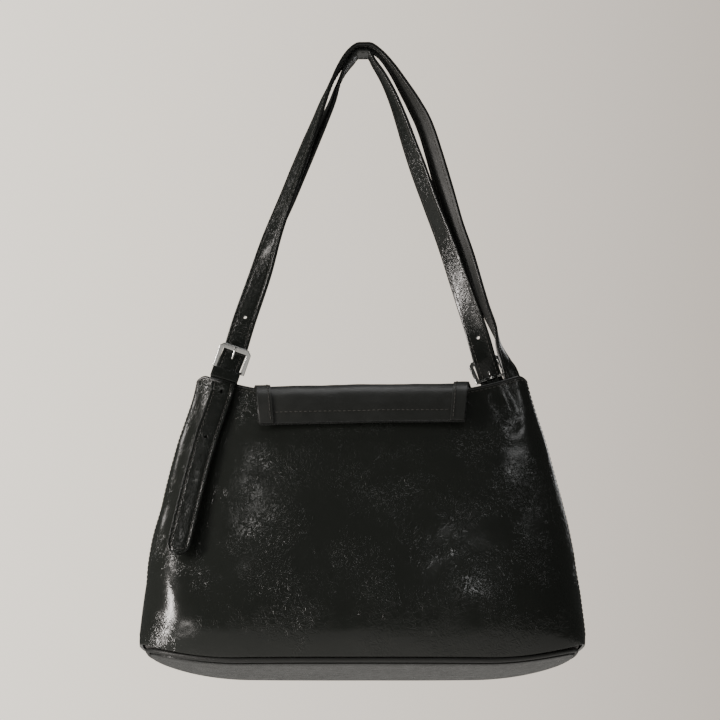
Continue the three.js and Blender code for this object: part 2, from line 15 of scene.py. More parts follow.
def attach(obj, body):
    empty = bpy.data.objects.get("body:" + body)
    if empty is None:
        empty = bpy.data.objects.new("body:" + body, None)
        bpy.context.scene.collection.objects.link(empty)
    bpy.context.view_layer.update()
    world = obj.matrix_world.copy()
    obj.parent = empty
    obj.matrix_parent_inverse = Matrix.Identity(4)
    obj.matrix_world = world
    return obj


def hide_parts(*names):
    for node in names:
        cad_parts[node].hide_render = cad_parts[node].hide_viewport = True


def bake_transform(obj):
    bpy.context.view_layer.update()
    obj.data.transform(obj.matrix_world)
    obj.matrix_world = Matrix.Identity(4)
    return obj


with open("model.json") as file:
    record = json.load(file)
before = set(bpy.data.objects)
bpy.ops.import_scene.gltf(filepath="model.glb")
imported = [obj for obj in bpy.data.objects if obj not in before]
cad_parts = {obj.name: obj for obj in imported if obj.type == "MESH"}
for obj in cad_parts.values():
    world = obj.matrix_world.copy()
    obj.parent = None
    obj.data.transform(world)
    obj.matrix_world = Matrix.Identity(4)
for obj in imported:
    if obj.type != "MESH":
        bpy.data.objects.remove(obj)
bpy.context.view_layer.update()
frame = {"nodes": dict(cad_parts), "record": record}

MM = 0.001
GAP = 0.4
PANEL = 2.2
HALF_WIDTH = [
    (0, 157), (18, 164.3), (40, 164), (85, 158.3), (115, 153),
    (146, 146), (177, 138.4), (208, 129), (232, 124),
]
HALF_DEPTH = [
    (0, 53), (20, 59), (40, 60), (60, 58), (90, 53), (120, 47),
    (145, 41.5), (170, 36), (190, 30.5), (207, 25.5), (232, 18),
]
SQUARE_BASE = 3.2
SQUARE_RIM = 2.2
RIM_HEIGHT = 205
EAR_RISE = 22
EAR_ROUND = 5
EAR_START, EAR_SPAN = 0.955, 0.045
PLACE_POWER = 2 / 2.7
BASE_FLAT = 86
BASE_RISE = 14
BASE_THICK = 2.5
BOARD_THICK = 2
BASE_EDGE = 164.3
WALL_START = 5.8
PIPING_RADIUS = 1.7
FACING_DEPTH = 24
FACING_DROP = 3.5
FACING_IN = 4.4
STRAP_THICK = 2.8
STRAP_HALF = 9
CROWN_CUT = 0.2
SEWN_NARROWING = 2.4
SEWN_FROM, SEWN_SPAN = 262, 32
FLAP_THICK = 1.8
FLAP_BOW = 3
FLAP_HALF_ROOT = 86.5
FLAP_HALF_TIP = 76
FLAP_PATH = [
    (28.6, 206), (28.3, 211), (23, 216), (11, 218.3), (-4, 218.8), (-18, 217.4),
    (-29.5, 210.8), (-34.3, 201), (-36.8, 191.5), (-38.4, 184.2),
]
HEEL = Vector((-101.2, -13.5, 228.5))
BUCKLE_LEAN = math.radians(20)
BUCKLE_TILT = math.radians(16)
BUCKLE_SHIFT = {"front": 0, "back": 1.5}
STRAP_LINE = {
    "front": [
        (-94.9, -14.3, 248.4, -88), (-90.3, -14.2, 265, -86), (-78.3, -13, 303, -74),
        (-69, -11.5, 336, -54), (-57.8, -9.6, 369, -41), (-48.8, -8, 395, -36),
        (-41.9, -6.6, 415, -30), (-34.9, -5.2, 435, -22), (-28, -4, 455, -14),
        (-19.4, -2.5, 475, -5), (-10.5, -1.5, 489, 0), (-2.5, -1, 495.4, 0),
        (6, -1, 495.4, 0), (13.5, -1, 490.5, 0), (24, -1, 477, 8), (33, -0.2, 462, 18),
        (41.5, 1, 447, 28), (49.3, 2.4, 431, 36), (65, 6, 377, 44), (72.6, 8, 350, 41),
        (81.3, 9, 325, 34), (94.3, 7, 286, 13), (102.2, -2, 262, 0), (105.6, -4.4, 248, -20),
        (109.5, -5.6, 237, -40), (112, -6.2, 231, -58),
    ],
    "back": [
        (-93.4, -14.3, 248.4, -84), (-89, -14.2, 265, -70), (-75.3, -13.2, 308, -50),
        (-64.4, -11.8, 341, -40), (-54, -10, 369, -35), (-45, -8.6, 395, -36),
        (-37.5, -7, 417, -30), (-31, -5.6, 437, -22), (-24.5, -4.2, 455, -14),
        (-17, -2.6, 471, -6), (-9.5, -1.4, 483.2, 0), (-5, -1, 490.9, 0),
        (3, -1, 490.9, 0), (7.5, -1, 485.5, 0), (14, -1, 476, 4), (19, -1, 464.5, 10),
        (23.8, -1, 449, 18), (32, -1.2, 430, 28), (45.5, -1.8, 398, 36),
        (57, -2.2, 369, 36), (70.5, -2.8, 336, 30), (83, -3.4, 303, 22),
        (93, -4, 277, 12), (98, -4.5, 260, 0), (101.3, -5, 247.5, -20),
        (104.5, -5.6, 237, -40), (106.5, -6.2, 231, -58),
    ],
}
LAP_LINE = [(-3, -19.2, 219.7), (-1.8, -18.5, 223.5), (-0.1, -17.85, 228.5), (2.5, -16.1, 236),
            (5, -14.6, 243.3)]
TAIL_LINE = [(-104.8, 216.6), (-105.6, 209), (-110.5, 191), (-116, 172), (-121.2, 150),
             (-127, 122), (-131.5, 99), (-135, 81)]
TAIL_CLEARANCE = [1.3, 1.8, 1.9, 2.5, 3.5, 4.5, 5.5, 6.5]
TAIL_TURN = -82
HOLE_RADIUS = 1.4
# Height of each hole in a strap, and how far it is stretched along the strap.
STRAP_HOLES = {"front": [(237, 2.4), (269, 1), (303, 1)], "back": [(262, 1)]}
TAIL_HOLES = [172, 209]
# Two distances above the buckle, put into the strap's blended tuple.
STRAP_BEND = (1, 17)
TURN = {"front": Matrix.Identity(3), "back": Matrix.Rotation(math.pi, 3, "Z")}


# ---- Camera, stage and light ----

def link(obj):
    bpy.context.scene.collection.objects.link(obj)
    return obj


def set_up_camera():
    data = bpy.data.cameras.new("camera")
    data.lens = 114.7
    data.sensor_width = 36
    camera = link(bpy.data.objects.new("camera", data))
    camera.location = (-0.0015, -1.7, -0.2)
    camera.rotation_euler = (math.radians(104.5), 0, 0)
    bpy.context.scene.camera = camera


SUBJECT = Vector((0, 0, 0.13))
WARM = (1, 0.94, 0.9)
WHITE = (1, 1, 1)
# Name, place, size, power and tint of each light. All of them face the subject.
LIGHTS = [
    ("window", (-1.8, -0.78, 0.42), (0.3, 0.55), 22, WARM),
    ("window_low", (-1.91, -0.6, -0.15), (0.3, 0.4), 12, WARM),
    ("window_high", (-1.47, -0.85, 1.19), (0.2, 0.4), 5, WARM),
    ("low_left", (-1.34, -1.48, 0.06), (0.6, 0.16), 2, WARM),
    ("window_back", (-1.5, 0.62, 1.15), (0.3, 0.4), 2.5, (1, 0.95, 0.91)),
    ("upper_left", (-0.6, -1.55, 1.24), (0.14, 0.14), 0.42, (1, 0.97, 0.94)),
    ("upper_right", (0.5, -1.6, 0.84), (0.08, 0.08), 0.4, WHITE),
    ("right", (1.3, -0.95, 1.45), (0.25, 0.25), 0.7, WHITE),
    ("overhead", (0, 0.3, 3.4), (2.4, 2.4), 32, WHITE),
    ("behind", (1.2, 2.3, 1.2), (0.8, 0.8), 3, WHITE),
]


def area_light(name, place, size, energy, tint):
    data = bpy.data.lights.new(name, "AREA")
    data.shape = "RECTANGLE"
    data.size, data.size_y = size
    data.energy = energy
    data.color = tint
    light = link(bpy.data.objects.new(name, data))
    light.location = place
    aim = SUBJECT - Vector(place)
    light.rotation_euler = aim.to_track_quat("-Z", "Y").to_euler()


def set_up_world(left, right, lit):
    """A backdrop for the camera, paler at the left as painted light falling from the left, and a
    dim even light for all else.
    """
    world = bpy.data.worlds.new("room")
    world.use_nodes = True
    nodes, links = world.node_tree.nodes, world.node_tree.links
    split = nodes.new("ShaderNodeSeparateXYZ")
    links.new(nodes.new("ShaderNodeTexCoord").outputs["Generated"], split.inputs["Vector"])
    across = nodes.new("ShaderNodeMapRange")
    across.inputs["From Min"].default_value = -0.16
    across.inputs["From Max"].default_value = 0.16
    links.new(split.outputs["X"], across.inputs["Value"])
    backdrop, seen = nodes.new("ShaderNodeMix"), nodes.new("ShaderNodeMix")
    for mix in (backdrop, seen):
        mix.data_type = "RGBA"
    # Painted light: the backdrop runs from the lit left colour to the darker right one.
    backdrop.inputs["A"].default_value = (*left, 1)
    backdrop.inputs["B"].default_value = (*right, 1)
    links.new(across.outputs["Result"], backdrop.inputs["Factor"])
    seen.inputs["A"].default_value = (*lit, 1)
    links.new(backdrop.outputs["Result"], seen.inputs["B"])
    ray = nodes.new("ShaderNodeLightPath")
    links.new(ray.outputs["Is Camera Ray"], seen.inputs["Factor"])
    links.new(seen.outputs["Result"], nodes["Background"].inputs["Color"])
    bpy.context.scene.world = world


def set_up_floor():
    """A wide floor far below the bag."""
    z, reach = -1.2, 40
    mesh = bpy.data.meshes.new("floor")
    mesh.from_pydata([(-reach, -reach, z), (reach, -reach, z), (reach, reach, z),
                      (-reach, reach, z)], [], [(0, 1, 2, 3)])
    mesh.materials.append(LOOKS["floor"])
    link(bpy.data.objects.new("floor", mesh))


# ---- Materials ----

class Shader:
    """A Principled material and the nodes that feed it."""

    def __init__(self, name, **inputs):
        self.material = bpy.data.materials.new(name)
        self.material.use_nodes = True
        self.tree = self.material.node_tree
        self.surface = self.tree.nodes["Principled BSDF"]
        for key, value in inputs.items():
            self.surface.inputs[key.replace("_", " ")].default_value = value
        self.place = self.node("TexCoord").outputs["Object"]

    def node(self, kind, links=None, **values):
        node = self.tree.nodes.new("ShaderNode" + kind)
        for key, value in values.items():
            if hasattr(node, key):
                setattr(node, key, value)
            else:
                node.inputs[key.replace("_", " ")].default_value = value
        for key, value in (links or {}).items():
            self.tree.links.new(value, node.inputs[key])
        return node

    def noise(self, scale, detail=2, roughness=0.5, distortion=0):
        return self.node("TexNoise", {"Vector": self.place}, Scale=scale, Detail=detail,
                         Roughness=roughness, Distortion=distortion).outputs["Fac"]

    def spread(self, value, low, high, to_low, to_high):
        node = self.node("MapRange", {"Value": value})
        for key, number in zip(("From Min", "From Max", "To Min", "To Max"),
                               (low, high, to_low, to_high)):
            node.inputs[key].default_value = number
        return node.outputs["Result"]

    def math(self, operation, a, b):
        node = self.node("Math", operation=operation)
        for socket, value in zip(node.inputs, (a, b)):
            if isinstance(value, (int, float)):
                socket.default_value = value
            else:
                self.tree.links.new(value, socket)
        return node.outputs[0]

    def colours(self, value, first, second):
        node = self.node("Mix", data_type="RGBA")
        node.inputs["A"].default_value = (*first, 1)
        node.inputs["B"].default_value = (*second, 1)
        self.tree.links.new(value, node.inputs["Factor"])
        self.feed("Base Color", node.outputs["Result"])

    def feed(self, key, value):
        self.tree.links.new(value, self.surface.inputs[key])

    def bump(self, height, depth):
        node = self.node("Bump", {"Height": height}, Strength=1.0, Distance=depth)
        self.feed("Normal", node.outputs["Normal"])


def leather(name, dark, pale, rough, wrinkle, depth, patchy, shine=0.5):
    """Leather: fine winding creases between smooth spots, deeper in patches."""
    s = Shader(name, Specular_IOR_Level=shine)
    folds = s.math("ABSOLUTE", s.math("SUBTRACT", s.noise(wrinkle, 2, 0.5, 1.1), 0.5), 0)
    creases = s.spread(folds, 0, 0.1, 0, 1)
    swell = s.math("MULTIPLY", s.noise(wrinkle * 0.45, 2), 0.9)
    patch = s.spread(s.noise(26, 3, 0.6), 0.42, 0.62, patchy, 1)
    s.bump(s.math("MULTIPLY", s.math("ADD", creases, swell), patch), depth)
    s.colours(s.noise(60, 4), dark, pale)
    s.feed("Roughness", s.spread(s.noise(140, 3), 0.3, 0.7, rough[0], rough[1]))
    return s.material


def woven(name, dark, pale, pitch):
    """Twill: two crossed sets of waves."""
    s = Shader(name, Sheen_Weight=0.15, Sheen_Roughness=0.5)
    waves = []
    for direction in ("DIAGONAL", "Z"):
        waves.append(s.node("TexWave", {"Vector": s.place}, bands_direction=direction,
                            Scale=pitch, Distortion=0.4, Detail=1).outputs["Fac"])
    weave = s.math("MAXIMUM", waves[0], s.math("MULTIPLY", waves[1], 0.7))
    s.colours(s.math("MULTIPLY", weave, s.noise(240, 3)), dark, pale)
    s.feed("Roughness", s.spread(s.noise(300), 0.3, 0.7, 0.75, 0.92))
    s.bump(weave, 0.00025)
    return s.material


def metal(name, dark, pale, rough, scratch):
    """Polished or satin metal with fine handling marks."""
    s = Shader(name, Metallic=1.0)
    stretched = s.node("Mapping", {"Vector": s.place})
    stretched.inputs["Scale"].default_value = (1, 1, 9)
    marks = s.node("TexNoise", {"Vector": stretched.outputs["Vector"]}, Scale=scratch,
                   Detail=4).outputs["Fac"]
    s.colours(s.noise(90, 3), dark, pale)
    s.feed("Roughness", s.spread(marks, 0.3, 0.7, rough[0], rough[1]))
    s.bump(marks, 0.00001)
    return s.material


def grainy(name, dark, pale, scale, rough, depth, **inputs):
    s = Shader(name, **inputs)
    s.colours(s.noise(scale, 4), dark, pale)
    s.feed("Roughness", s.spread(s.noise(scale * 2), 0.3, 0.7, rough - 0.08, rough + 0.08))
    s.bump(s.noise(scale * 3, 3), depth)
    return s.material


def make_materials():
    return {
        "glazed": leather("glazed_leather", (0.0165, 0.0185, 0.0162), (0.0205, 0.0228, 0.02),
                          (0.14, 0.19), 250, 0.00014, 0.1),
        "smooth": leather("smooth_leather", (0.018, 0.0195, 0.0178), (0.022, 0.0236, 0.0215),
                          (0.34, 0.42), 380, 0.00004, 0.4),
        "sole": leather("sole_leather", (0.019, 0.0205, 0.019), (0.024, 0.0256, 0.0238),
                        (0.26, 0.36), 260, 0.00022, 0.5, 0.25),
        "strap": leather("strap_leather", (0.0105, 0.0122, 0.0107), (0.0135, 0.0154, 0.0135),
                         (0.14, 0.2), 320, 0.00011, 0.25),
        "matte": leather("matte_leather", (0.016, 0.0172, 0.016), (0.02, 0.0213, 0.0197),
                         (0.44, 0.54), 900, 0.00005, 0.5),
        "edge": grainy("edge_paint", (0.006, 0.0068, 0.0062), (0.012, 0.013, 0.012), 420, 0.3,
                       0.00006),
        "thread": grainy("thread", (0.035, 0.034, 0.03), (0.065, 0.062, 0.055), 2400, 0.62,
                         0.00012),
        "fabric": woven("lining_fabric", (0.03, 0.027, 0.024), (0.085, 0.078, 0.07), 260),
        "board": grainy("board", (0.14, 0.11, 0.08), (0.24, 0.19, 0.145), 500, 0.85, 0.0003),
        "steel": metal("polished_steel", (0.66, 0.66, 0.645), (0.78, 0.78, 0.76), (0.05, 0.14),
                       700),
        "zip": metal("zip_metal", (0.42, 0.41, 0.39), (0.56, 0.55, 0.53), (0.26, 0.4), 1500),
        "floor": grainy("floor", (0.66, 0.64, 0.615), (0.72, 0.7, 0.675), 0.7, 0.9, 0.0001,
                        Emission_Color=(0.66, 0.64, 0.61, 1), Emission_Strength=0.65),
    }


# ---- Shape helpers ----

def lerp(a, b, t):
    return a + (b - a) * t


def signed_power(v, p):
    return math.copysign(abs(v) ** p, v)


def through(points):
    """A smooth curve through (input, value) pairs."""
    last = len(points) - 1
    slope = []
    for i in range(last + 1):
        a, b = points[max(i - 1, 0)], points[min(i + 1, last)]
        slope.append((b[1] - a[1]) / (b[0] - a[0]))

    def value(x):
        i = 0
        while i < last - 1 and points[i + 1][0] <= x:
            i += 1
        (x0, a), (x1, b) = points[i], points[i + 1]
        h = x1 - x0
        t = (x - x0) / h
        return (a + (b - a) * t * t * (3 - 2 * t)
                + h * t * (1 - t) * ((1 - t) * slope[i] - t * slope[i + 1]))

    return value


def curve(points, spacing):
    """Places, each (position, span number), along a centripetal curve through points."""
    points = [Vector(p) for p in points]
    ends = [2 * points[0] - points[1]] + points + [2 * points[-1] - points[-2]]
    made = []
    for i in range(len(points) - 1):
        p0, p1, p2, p3 = ends[i:i + 4]
        d0, d1, d2 = ((b - a).length ** 0.5 for a, b in ((p0, p1), (p1, p2), (p2, p3)))
        m1 = ((p1 - p0) / d0 - (p2 - p0) / (d0 + d1) + (p2 - p1) / d1) * d1
        m2 = ((p2 - p1) / d1 - (p3 - p1) / (d1 + d2) + (p3 - p2) / d2) * d1
        steps = max(2, round((p2 - p1).length / spacing))
        for k in range(steps + (i == len(points) - 2)):
            t = k / steps
            spot = (p1 * (2 * t ** 3 - 3 * t ** 2 + 1) + m1 * (t ** 3 - 2 * t ** 2 + t)
                    + p2 * (3 * t ** 2 - 2 * t ** 3) + m2 * (t ** 3 - t ** 2))
            made.append((spot, i + t))
    return made


def even(points, count):
    """count + 1 points at equal distances along a list of points."""
    lengths = [0]
    for a, b in zip(points, points[1:]):
        lengths.append(lengths[-1] + (b - a).length)
    made, i = [], 0
    for k in range(count + 1):
        want = lengths[-1] * k / count
        while i < len(points) - 2 and lengths[i + 1] < want:
            i += 1
        t = (want - lengths[i]) / max(lengths[i + 1] - lengths[i], 1e-9)
        made.append(points[i].lerp(points[i + 1], t))
    return made


def length_of(points):
    return sum((b - a).length for a, b in zip(points, points[1:]))


def tangents(points, loop=False):
    last = len(points) - 1
    made = []
    for i in range(last + 1):
        before = points[i - 1] if i or loop else points[0]
        after = points[i + 1] if i < last else points[0] if loop else points[last]
        made.append((after - before).normalized())
    return made


def round_edges(bm, angle, size):
    """Rounds edges sharper than an angle in degrees, by a size in millimetres."""
    edges = [e for e in bm.edges if e.is_manifold and e.calc_face_angle(0) > math.radians(angle)]
    bmesh.ops.bevel(bm, geom=edges, offset=size * MM, segments=3, profile=0.6,
                    affect="EDGES", clamp_overlap=True)


def piece(name, points, faces, look, body, replaced=(), looks=None, face_looks=None,
          bevel=0.0, sharp=38, blended=None, holes=()):
    """A shown mesh from points in millimetres, riding on a body, or with its place baked in and
    left on no body when blended is given.
    """
    mesh = bpy.data.meshes.new(name)
    mesh.from_pydata([tuple(Vector(p) * MM) for p in points], [], faces)
    bm = bmesh.new()
    bm.from_mesh(mesh)
    if face_looks:
        bm.faces.ensure_lookup_table()
        for face, index in zip(bm.faces, face_looks):
            face.material_index = index
    bmesh.ops.recalc_face_normals(bm, faces=bm.faces)
    if bevel:
        round_edges(bm, 50, bevel)
    bm.to_mesh(mesh)
    bm.free()
    for entry in looks or [look]:
        mesh.materials.append(LOOKS[entry])
    finish_mesh(mesh, sharp)
    obj = link(bpy.data.objects.new(name, mesh))
    if holes:
        punch(obj, holes)
    settle(obj, body, replaced, blended)


def punch(obj, holes):
    """Cuts holes, each (centre, normal, across, stretch along the strap), through a piece."""
    for centre, normal, across, stretch in holes:
        mesh = bpy.data.meshes.new("punch")
        bm = bmesh.new()
        bmesh.ops.create_cone(bm, cap_ends=True, segments=20, radius1=HOLE_RADIUS * MM,
                              radius2=HOLE_RADIUS * MM, depth=9 * MM)
        along = normal.cross(across)
        turn = Matrix((across, along * stretch, normal)).transposed()
        bmesh.ops.transform(bm, matrix=turn.to_4x4(), verts=bm.verts)
        bmesh.ops.translate(bm, vec=centre * MM, verts=bm.verts)
        bm.to_mesh(mesh)
        bm.free()
        tool = link(bpy.data.objects.new("punch", mesh))
        cut = obj.modifiers.new("punch", "BOOLEAN")
        cut.object = tool
        cut.solver = "EXACT"
        depsgraph = bpy.context.evaluated_depsgraph_get()
        made = bpy.data.meshes.new_from_object(obj.evaluated_get(depsgraph))
        obj.modifiers.clear()
        obj.data = made
        bpy.data.objects.remove(tool)
    finish_mesh(obj.data, 50)


def finish_mesh(mesh, sharp):
    mesh.polygons.foreach_set("use_smooth", [True] * len(mesh.polygons))
    mesh.set_sharp_from_angle(angle=math.radians(sharp))


def settle(obj, body, replaced=(), blended=None):
    if blended:
        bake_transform(obj)
    else:
        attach(obj, body)
    if replaced:
        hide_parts(*replaced)


def grid_faces(across, up, start=0):
    row = across + 1
    return [(start + j * row + i, start + j * row + i + 1, start + (j + 1) * row + i + 1,
             start + (j + 1) * row + i) for j in range(up) for i in range(across)]


def slab(face, us, vs, near, far):
    """Points and faces of the solid between two layers of face(u, v, depth)."""
    points = [face(u, v, near) for v in vs for u in us]
    points += [face(u, v, far) for v in vs for u in us]
    across, up = len(us) - 1, len(vs) - 1
    layer = len(us) * len(vs)
    faces = grid_faces(across, up) + [f[::-1] for f in grid_faces(across, up, layer)]

    def wall(a, b):
        faces.append((a, b, b + layer, a + layer))

    for i in range(across):
        wall(i, i + 1)
        wall(up * (across + 1) + i, up * (across + 1) + i + 1)
    for j in range(up):
        wall(j * (across + 1), (j + 1) * (across + 1))
        wall(j * (across + 1) + across, (j + 1) * (across + 1) + across)
    return points, faces


def loft(rings, loop=False):
    n = len(rings[0])
    points = [p for ring in rings for p in ring]
    faces = []
    for k in range(len(rings) - (not loop)):
        after = (k + 1) % len(rings)
        for i in range(n):
            j = (i + 1) % n
            faces.append((k * n + i, k * n + j, after * n + j, after * n + i))
    if not loop:
        faces += [tuple(range(n))[::-1], tuple((len(rings) - 1) * n + i for i in range(n))]
    return points, faces


def tube(line, radius, sides=10, loop=False, flatten=1.0, up=Vector((0, 0, 1))):
    rings = []
    for spot, along in zip(line, tangents(line, loop)):
        side = along.cross(up).normalized()
        top = side.cross(along).normalized()
        size = radius(spot) if callable(radius) else radius
        rings.append([
            spot + side * size * math.cos(a) + top * size * flatten * math.sin(a)
            for a in (2 * math.pi * i / sides for i in range(sides))
        ])
    return loft(rings, loop)


def share(count):
    return [i / count for i in range(count + 1)]


STITCH_PITCH = 3.6
STITCH_LENGTH = 2.7
STITCH_RADIUS = 0.36
STITCH_SIDES = 6
STITCH_PROFILE = [(-0.5, 0.3), (-0.36, 1), (0.36, 1), (0.5, 0.3)]


def stitches(name, lines, body, blended=None, size=1.0):
    """Rows of thread: short rounded rods, each a little aslant, along lines in millimetres."""
    points, faces = [], []
    for line in lines:
        count = max(1, round(length_of(line) / STITCH_PITCH))
        places = even(line, count * 2)
        for k in range(count):
            middle = places[2 * k + 1]
            along = (places[2 * k + 2] - places[2 * k]).normalized()
            side = along.cross(Vector((0.3, 0.5, 0.81))).normalized()
            top = side.cross(along)
            start = len(points)
            for t, r in STITCH_PROFILE:
                for i in range(STITCH_SIDES):
                    a = 2 * math.pi * i / STITCH_SIDES
                    points.append(middle + along * STITCH_LENGTH * t
                                  + (side * math.cos(a) + top * math.sin(a))
                                  * STITCH_RADIUS * size * r)
            for ring in range(len(STITCH_PROFILE) - 1):
                low = start + ring * STITCH_SIDES
                high = low + STITCH_SIDES
                for i in range(STITCH_SIDES):
                    j = (i + 1) % STITCH_SIDES
                    faces.append((low + i, low + j, high + j, high + i))
            faces.append(tuple(start + i for i in range(STITCH_SIDES))[::-1])
            faces.append(tuple(high + i for i in range(STITCH_SIDES)))
    piece(name, points, faces, "thread", body, blended=blended, sharp=60)


BODY_OF = {n: b for b, ns in frame["record"]["behaviour"]["bodies"].items() for n in ns}


def refined(node, look, bevel):
    """A copy of a CAD node with its edges rounded, in place of the node."""
    mesh = frame["nodes"][node].data.copy()
    bm = bmesh.new()
    bm.from_mesh(mesh)
    bmesh.ops.remove_doubles(bm, verts=bm.verts, dist=1e-6)
    bmesh.ops.dissolve_limit(bm, angle_limit=math.radians(1.5), verts=bm.verts,
                             edges=bm.edges)
    round_edges(bm, 32, bevel)
    bm.to_mesh(mesh)
    bm.free()
    mesh.materials.clear()
    mesh.materials.append(LOOKS[look])
    finish_mesh(mesh, 34)
    obj = link(bpy.data.objects.new(node + "_finish", mesh))
    settle(obj, BODY_OF[node], [node])


# ---- The body ----

half_width = through(HALF_WIDTH)
half_depth = through(HALF_DEPTH)


def power(z):
    return lerp(SQUARE_BASE, SQUARE_RIM, z / (RIM_HEIGHT + EAR_RISE))


def rim_at(f):
    corner = max(abs(f) - EAR_START, 0) / EAR_SPAN
    return RIM_HEIGHT + EAR_RISE * abs(f) ** 3 - EAR_ROUND * corner ** 2


def base_at(x):
    return BASE_RISE * (max(abs(x) - BASE_FLAT, 0) / (BASE_EDGE - BASE_FLAT)) ** 2


def foot_at(f):
    return base_at(f * BASE_EDGE) + WALL_START


def stand_out(x, z):
    n = power(z)
    return half_depth(z) * (1 - min(abs(x) / half_width(z), 1) ** n) ** (1 / n)


# Soft folds of the panels in the front's frame: (x, z) line, depth and width in mm.
FOLDS = {
    "front": [
        ([(107, 223), (111, 216), (114, 205), (116.5, 196), (116.5, 187), (113, 180)], 0.65, 4),
        ([(100, 203), (106, 192), (112, 183)], 0.8, 5),
        ([(-94, 192), (-88, 193.5), (-82, 192.5)], 0.45, 1.8),
        ([(-70, 180), (-30, 172), (20, 174), (72, 181)], 0.6, 7),
        ([(118, 160), (128, 120), (133, 80)], 0.6, 11),
        ([(-148, 96), (-138, 62), (-124, 26)], -2.0, 15),
    ],
    "back": [
        ([(-106, 222), (-111, 210), (-114, 198), (-113, 186)], 1.5, 3.4),
        ([(95, 196), (100, 186), (99, 174)], 0.9, 4),
        ([(-60, 150), (-20, 140), (30, 146)], 0.6, 10),
        ([(80, 120), (60, 90), (66, 60)], 0.5, 12),
    ],
}


def to_line(x, z, line):
    """Distance of (x, z) from a line, and the share of the line at the nearest point."""
    best, at = 1e9, 0
    for i, (a, b) in enumerate(zip(line, line[1:])):
        dx, dz = b[0] - a[0], b[1] - a[1]
        t = ((x - a[0]) * dx + (z - a[1]) * dz) / (dx * dx + dz * dz)
        t = min(max(t, 0), 1)
        d = math.hypot(x - a[0] - t * dx, z - a[1] - t * dz)
        if d < best:
            best, at = d, (i + t) / (len(line) - 1)
    return best, at


def relief(side, x, z):
    """How far the leather stands out from its even surface at x and z."""
    seed = 0 if side == "front" else 71
    spot = Vector((x / 62 + seed, z / 48, 3.1))
    rise = 0.85 * noise.noise(spot) + 0.25 * noise.noise(spot * 2.9)
    rise += 0.03 * noise.noise(Vector((x / 9, z / 11 + seed, 1.7)))
    low = foot_at(min(abs(x) / BASE_EDGE, 1))
    rise *= min(max((z - low) / 14, 0.15), 1) * min(max((226 - z) / 12, 0.2), 1)
    for line, depth, width in FOLDS[side]:
        d, at = to_line(x, z, line)
        if d < 4 * width:
            fade = math.sin(math.pi * min(max(at * 0.86 + 0.1, 0), 1)) ** 0.6
            rise -= depth * fade * math.exp(-(d / width) ** 2)
            rise += 0.5 * depth * fade * math.exp(-((d - 1.9 * width) / width) ** 2)
    return max(rise, -1.8)


def wall_face(side, low, high, from_angle=0.0, to_angle=math.pi):
    """face(u, v, depth) of a wall between two heights, each given by the place along it."""
    sign = -1 if side == "front" else 1

    def face(u, v, depth):
        a = lerp(from_angle, to_angle, u)
        across = math.cos(a)
        place = signed_power(across, PLACE_POWER)
        z = lerp(low(place), high(place), v)
        p = 2 / power(z)
        stretch = signed_power(across, p)
        depth -= relief(side, half_width(z) * stretch, z)
        return Vector((
            (half_width(z) - depth) * stretch,
            sign * (GAP / 2 + (half_depth(z) - GAP / 2 - depth) * abs(math.sin(a)) ** p), z))

    return face


def even_turns(count):
    """Shares of the half turn that are evenly spaced along the wall at half its height."""
    dense, z = 4000, 110
    p = 2 / power(z)
    spots = []
    for k in range(dense + 1):
        a = math.pi * k / dense
        spots.append(Vector((half_width(z) * signed_power(math.cos(a), p),
                             half_depth(z) * abs(math.sin(a)) ** p)))
    total, made, run, want = length_of(spots), [0.0], 0, 1
    for k in range(dense):
        run += (spots[k + 1] - spots[k]).length
        while want < count and run >= total * want / count:
            made.append((k + 1) / dense)
            want += 1
    return made + [1.0]


def wall_share(x, z):
    return math.acos(max(-1, min(1, signed_power(x / half_width(z), power(z) / 2)))) / math.pi


def make_panels():
    turns = even_turns(230)
    for side in ("front", "back"):
        wall = wall_face(side, foot_at, rim_at)
        points, faces = slab(wall, turns, share(120), 0, PANEL)
        piece(side + "_panel_leather", points, faces, "glazed", "bag", [side + "_panel"],
              bevel=0.5)
        rim = [wall(u, 1, 0.9) - Vector((0, 0, 0.5)) for u in turns]
        points, faces = tube(rim, 1.45, 10)
        piece(side + "_rim_edge", points, faces, "edge", "bag")
        inside = wall_face(side, lambda f: rim_at(f) - FACING_DEPTH,
                           lambda f: rim_at(f) - FACING_DROP)
        points, faces = slab(inside, turns[::2] + [1.0], share(10), FACING_IN,
                             FACING_IN + 1.2)
        piece(side + "_facing_leather", points, faces, "matte", "bag", [side + "_facing"],
              bevel=0.3)
        below_rim = wall_face(side, foot_at, lambda f: rim_at(f) - 2.6)
        facing_row = wall_face(side, foot_at, lambda f: rim_at(f) - 7)
        low_row = wall_face(side, foot_at, lambda f: rim_at(f) - FACING_DEPTH + 3)
        rows = [
            [below_rim(u, 1, -0.05) for u in turns],
            [facing_row(u, 1, FACING_IN + 1.25) for u in turns],
            [low_row(u, 1, FACING_IN + 1.25) for u in turns],
        ]
        for u in (0.018, 0.982):
            rows.append([wall(u, v, -0.05) for v in share(60)[2:-1]])
        stitches(side + "_panel_stitches", rows, "bag")
    for name, sign in (("right", 1), ("left", -1)):
        seam = [Vector((sign * (half_width(z) - 0.7), 0, z))
                for z in (lerp(foot_at(1), rim_at(1), t) for t in share(60))]
        points, faces = tube(seam, 0.9, 8, up=Vector((0, 1, 0)))
        piece("side_seam_" + name, points, faces, "edge", "bag")


def plan_ring(inset, z, count):
    """Evenly spaced places round the bag's plan at a height."""
    p = 2 / SQUARE_BASE
    dense = []
    for k in range(720):
        a = 2 * math.pi * k / 720
        x = (half_width(z) - inset) * signed_power(math.cos(a), p)
        y = (half_depth(z) - inset) * signed_power(math.sin(a), p)
        dense.append(Vector((x, y, 0)))
    return even(dense + [dense[0]], count)[:-1]


